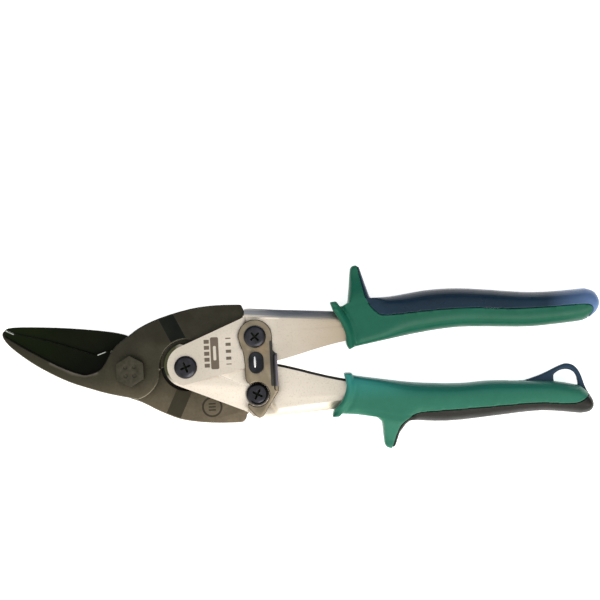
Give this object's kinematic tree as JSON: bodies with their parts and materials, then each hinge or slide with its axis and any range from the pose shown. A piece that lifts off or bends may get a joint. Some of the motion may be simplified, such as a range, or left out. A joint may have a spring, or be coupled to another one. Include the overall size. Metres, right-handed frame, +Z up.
{
  "type": "compound-action aviation snips",
  "caption": "Hand snips for sheet metal, with swept forged jaws, pivoting link handles, a swing latch, thumb horns and a hanging loop on a two-colour grip.",
  "frame": {"origin": "on the blade pivot axis, at the end face of the pivot bolt, which rests on the table", "axes": "+X from the jaw tips to the grip ends, +Y towards the upper jaw and upper handle, +Z up through the pivot bolt's head"},
  "size_m": [0.2504, 0.0773, 0.0201],
  "materials": {
    "forged_steel": "black oxide on a forged surface, matte with a dull sheen",
    "black_fastener": "blackened steel, slightly glossy",
    "zinc_fastener": "zinc plated steel",
    "bright_sheet": "satin nickel plated sheet steel",
    "latch_steel": "dark tempered sheet steel with a satin face",
    "spring_steel": "oiled spring wire",
    "green_grip": "green moulded plastic with a soft sheen",
    "blue_overlay": "dark blue soft moulding with a fine grain",
    "grey_overlay": "dark grey soft moulding with a fine grain"
  },
  "bodies": {
    "lower_blade_set": {"lower_blade": "forged_steel", "blade_pivot_bolt": "forged_steel", "blade_pivot_nut": "black_fastener"},
    "upper_blade_set": {"upper_blade": "forged_steel"},
    "lower_handle": {"lower_handle_channel": "bright_sheet", "lower_grip_shell": "green_grip", "lower_grip_overlay": "grey_overlay", "lower_link_screw": "black_fastener", "lower_link_bush": "zinc_fastener", "lower_link_nut": "zinc_fastener", "handle_pivot_screw": "black_fastener", "handle_pivot_bush": "zinc_fastener", "handle_pivot_nut": "zinc_fastener", "return_spring": "spring_steel"},
    "upper_handle": {"upper_handle_channel": "bright_sheet", "upper_grip_shell": "green_grip", "upper_grip_overlay": "blue_overlay", "upper_link_screw": "black_fastener", "upper_link_bush": "zinc_fastener", "upper_link_nut": "zinc_fastener"},
    "latch": {"latch_plate": "latch_steel", "latch_thumb_button": "black_fastener", "latch_spring_washer": "spring_steel"}
  },
  "joints": [
    {"name": "blade_pivot", "type": "hinge", "parent": "lower_blade_set", "child": "upper_blade_set", "pos_m": [0, 0, 0.0095], "axis": [0, 0, -1], "range_deg": [0, 20]},
    {"name": "lower_link_pivot", "type": "hinge", "parent": "upper_blade_set", "child": "lower_handle", "pos_m": [0.0527, -0.0121, 0.0095], "axis": [0, 0, -1], "range_deg": [0, 8.2]},
    {"name": "handle_pivot", "type": "hinge", "parent": "lower_handle", "child": "upper_handle", "pos_m": [0.0232, 0.0006, 0.0095], "axis": [0, 0, 1], "range_deg": [0, 37.6], "deforming": ["return_spring"]},
    {"name": "latch_pivot", "type": "hinge", "parent": "upper_handle", "child": "latch", "pos_m": [0.0527, 0.0121, 0.0095], "axis": [0, 0, 1], "range_deg": [0, 35]}
  ],
  "couplings": [
    {"joint": "lower_link_pivot", "follows": "blade_pivot", "ratio": 0.41},
    {"joint": "handle_pivot", "follows": "blade_pivot", "ratio": 1.88}
  ]
}
